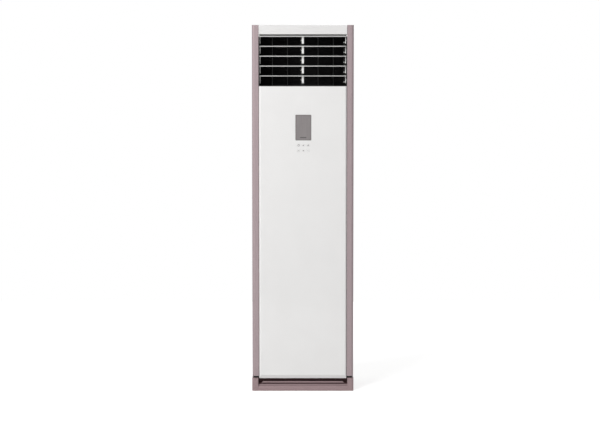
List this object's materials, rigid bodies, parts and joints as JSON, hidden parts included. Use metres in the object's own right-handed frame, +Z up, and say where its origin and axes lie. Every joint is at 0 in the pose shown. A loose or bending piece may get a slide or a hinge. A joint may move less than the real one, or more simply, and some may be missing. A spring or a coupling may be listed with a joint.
{
  "type": "floor standing air conditioner",
  "caption": "Tall cabinet air conditioner with a louvred outlet at the top, a glossy front panel with a display, metallic corner columns and a stepped plinth.",
  "frame": {"origin": "on the floor under the centre of the cabinet", "axes": "+Z up, the front faces -Y, +X to the right when seen from the front"},
  "size_m": [0.493, 0.315, 1.77],
  "materials": {
    "rose_metallic": "satin metallic paint with a fine sparkle",
    "gloss_white": "high gloss",
    "coated_steel": "smooth pre-coated sheet",
    "zinc_steel": "zinc coated",
    "dark_steel": "matt dark paint",
    "black_plastic": "fine matt grain",
    "blade_white": "satin",
    "smoked_window": "smoked grey lens, smooth",
    "white_plastic": "satin",
    "grey_plastic": "matt",
    "aluminium_fins": "bare",
    "copper": "bare copper, drawn",
    "board_green": "solder mask",
    "foam": "closed cell foam",
    "filter_net": "woven net on a plastic frame"
  },
  "bodies": {
    "cabinet": {"plinth": "rose_metallic", "base_plate": "dark_steel", "top_cap": "gloss_white", "top_cover": "coated_steel", "rear_panel": "coated_steel", "rear_liner": "foam", "wall_bracket": "zinc_steel", "front_panel": "gloss_white", "display_window": "smoked_window", "display_board": "board_green", "column_left": "rose_metallic", "side_panel_left": "coated_steel", "evaporator_end_left": "copper", "column_right": "rose_metallic", "side_panel_right": "coated_steel", "evaporator_end_right": "copper", "outlet_frame": "black_plastic", "outlet_lip": "grey_plastic", "blade_motor": "white_plastic", "vane_motor": "white_plastic", "volute_casing": "zinc_steel", "volute_front": "zinc_steel", "motor_bracket": "zinc_steel", "fan_motor": "aluminium_fins", "deck_plate": "zinc_steel", "evaporator_coil": "aluminium_fins", "drain_pan": "white_plastic", "drain_hose": "grey_plastic", "gas_pipe": "copper", "liquid_pipe": "copper", "front_liner": "foam", "control_box": "zinc_steel", "control_box_cover": "zinc_steel", "main_board": "board_green", "terminal_block": "black_plastic", "fan_capacitor": "grey_plastic"},
    "blade_1": {"blade_1": "blade_white"},
    "blade_2": {"blade_2": "blade_white"},
    "blade_3": {"blade_3": "blade_white"},
    "blade_4": {"blade_4": "blade_white"},
    "blade_5": {"blade_5": "blade_white"},
    "blade_link": {"blade_link": "black_plastic"},
    "vane_1": {"vane_1": "black_plastic"},
    "vane_2": {"vane_2": "black_plastic"},
    "vane_3": {"vane_3": "black_plastic"},
    "vane_4": {"vane_4": "black_plastic"},
    "vane_5": {"vane_5": "black_plastic"},
    "vane_link": {"vane_link": "black_plastic"},
    "fan": {"fan_wheel": "black_plastic", "fan_shaft": "zinc_steel"},
    "key_1": {"key_1": "gloss_white"},
    "key_2": {"key_2": "gloss_white"},
    "key_3": {"key_3": "gloss_white"},
    "key_4": {"key_4": "gloss_white"},
    "key_5": {"key_5": "gloss_white"},
    "key_6": {"key_6": "gloss_white"},
    "left_intake": {"intake_grille_left": "coated_steel", "filter_left": "filter_net"},
    "right_intake": {"intake_grille_right": "coated_steel", "filter_right": "filter_net"}
  },
  "joints": [
    {"name": "blade_3_tilt", "type": "hinge", "parent": "cabinet", "child": "blade_3", "pos_m": [0, -0.12525, 1.6027], "axis": [1, 0, 0], "range_deg": [-10, 90]},
    {"name": "blade_1_tilt", "type": "hinge", "parent": "cabinet", "child": "blade_1", "pos_m": [0, -0.12525, 1.5077], "axis": [1, 0, 0], "range_deg": [-10, 90]},
    {"name": "blade_2_tilt", "type": "hinge", "parent": "cabinet", "child": "blade_2", "pos_m": [0, -0.12525, 1.5552], "axis": [1, 0, 0], "range_deg": [-10, 90]},
    {"name": "blade_4_tilt", "type": "hinge", "parent": "cabinet", "child": "blade_4", "pos_m": [0, -0.12525, 1.6502], "axis": [1, 0, 0], "range_deg": [-10, 90]},
    {"name": "blade_5_tilt", "type": "hinge", "parent": "cabinet", "child": "blade_5", "pos_m": [0, -0.12525, 1.6977], "axis": [1, 0, 0], "range_deg": [-10, 90]},
    {"name": "blade_link_pivot", "type": "hinge", "parent": "blade_3", "child": "blade_link", "pos_m": [0, -0.12525, 1.5927], "axis": [1, 0, 0], "range_deg": [-90, 10]},
    {"name": "vane_5_swing", "type": "hinge", "parent": "cabinet", "child": "vane_5", "pos_m": [0.148, -0.05675, 1.6], "axis": [0, 0, 1], "range_deg": [-35, 35]},
    {"name": "vane_1_swing", "type": "hinge", "parent": "cabinet", "child": "vane_1", "pos_m": [-0.148, -0.05675, 1.6], "axis": [0, 0, 1], "range_deg": [-35, 35]},
    {"name": "vane_2_swing", "type": "hinge", "parent": "cabinet", "child": "vane_2", "pos_m": [-0.074, -0.05675, 1.6], "axis": [0, 0, 1], "range_deg": [-35, 35]},
    {"name": "vane_3_swing", "type": "hinge", "parent": "cabinet", "child": "vane_3", "pos_m": [0, -0.05675, 1.6], "axis": [0, 0, 1], "range_deg": [-35, 35]},
    {"name": "vane_4_swing", "type": "hinge", "parent": "cabinet", "child": "vane_4", "pos_m": [0.074, -0.05675, 1.6], "axis": [0, 0, 1], "range_deg": [-35, 35]},
    {"name": "vane_link_pivot", "type": "hinge", "parent": "vane_5", "child": "vane_link", "pos_m": [0.148, -0.03475, 1.483], "axis": [0, 0, 1], "range_deg": [-35, 35]},
    {"name": "fan_spin", "type": "hinge", "parent": "cabinet", "child": "fan", "pos_m": [0, 0, 0.332], "axis": [0, 1, 0], "continuous": true},
    {"name": "key_1_press", "type": "slide", "parent": "cabinet", "child": "key_1", "axis": [0, 1, 0], "range_m": [0, 0.0008], "stiffness_N_per_m": 400},
    {"name": "key_2_press", "type": "slide", "parent": "cabinet", "child": "key_2", "axis": [0, 1, 0], "range_m": [0, 0.0008], "stiffness_N_per_m": 400},
    {"name": "key_3_press", "type": "slide", "parent": "cabinet", "child": "key_3", "axis": [0, 1, 0], "range_m": [0, 0.0008], "stiffness_N_per_m": 400},
    {"name": "key_4_press", "type": "slide", "parent": "cabinet", "child": "key_4", "axis": [0, 1, 0], "range_m": [0, 0.0008], "stiffness_N_per_m": 400},
    {"name": "key_5_press", "type": "slide", "parent": "cabinet", "child": "key_5", "axis": [0, 1, 0], "range_m": [0, 0.0008], "stiffness_N_per_m": 400},
    {"name": "key_6_press", "type": "slide", "parent": "cabinet", "child": "key_6", "axis": [0, 1, 0], "range_m": [0, 0.0008], "stiffness_N_per_m": 400},
    {"name": "left_intake_pull", "type": "slide", "parent": "cabinet", "child": "left_intake", "axis": [-1, 0, 0], "range_m": [0, 0.06]},
    {"name": "right_intake_pull", "type": "slide", "parent": "cabinet", "child": "right_intake", "axis": [1, 0, 0], "range_m": [0, 0.06]}
  ],
  "couplings": [
    {"joint": "blade_1_tilt", "follows": "blade_3_tilt", "ratio": 1},
    {"joint": "blade_2_tilt", "follows": "blade_3_tilt", "ratio": 1},
    {"joint": "blade_4_tilt", "follows": "blade_3_tilt", "ratio": 1},
    {"joint": "blade_5_tilt", "follows": "blade_3_tilt", "ratio": 1},
    {"joint": "blade_link_pivot", "follows": "blade_3_tilt", "ratio": -1},
    {"joint": "vane_1_swing", "follows": "vane_5_swing", "ratio": 1},
    {"joint": "vane_2_swing", "follows": "vane_5_swing", "ratio": 1},
    {"joint": "vane_3_swing", "follows": "vane_5_swing", "ratio": 1},
    {"joint": "vane_4_swing", "follows": "vane_5_swing", "ratio": 1},
    {"joint": "vane_link_pivot", "follows": "vane_5_swing", "ratio": -1}
  ]
}
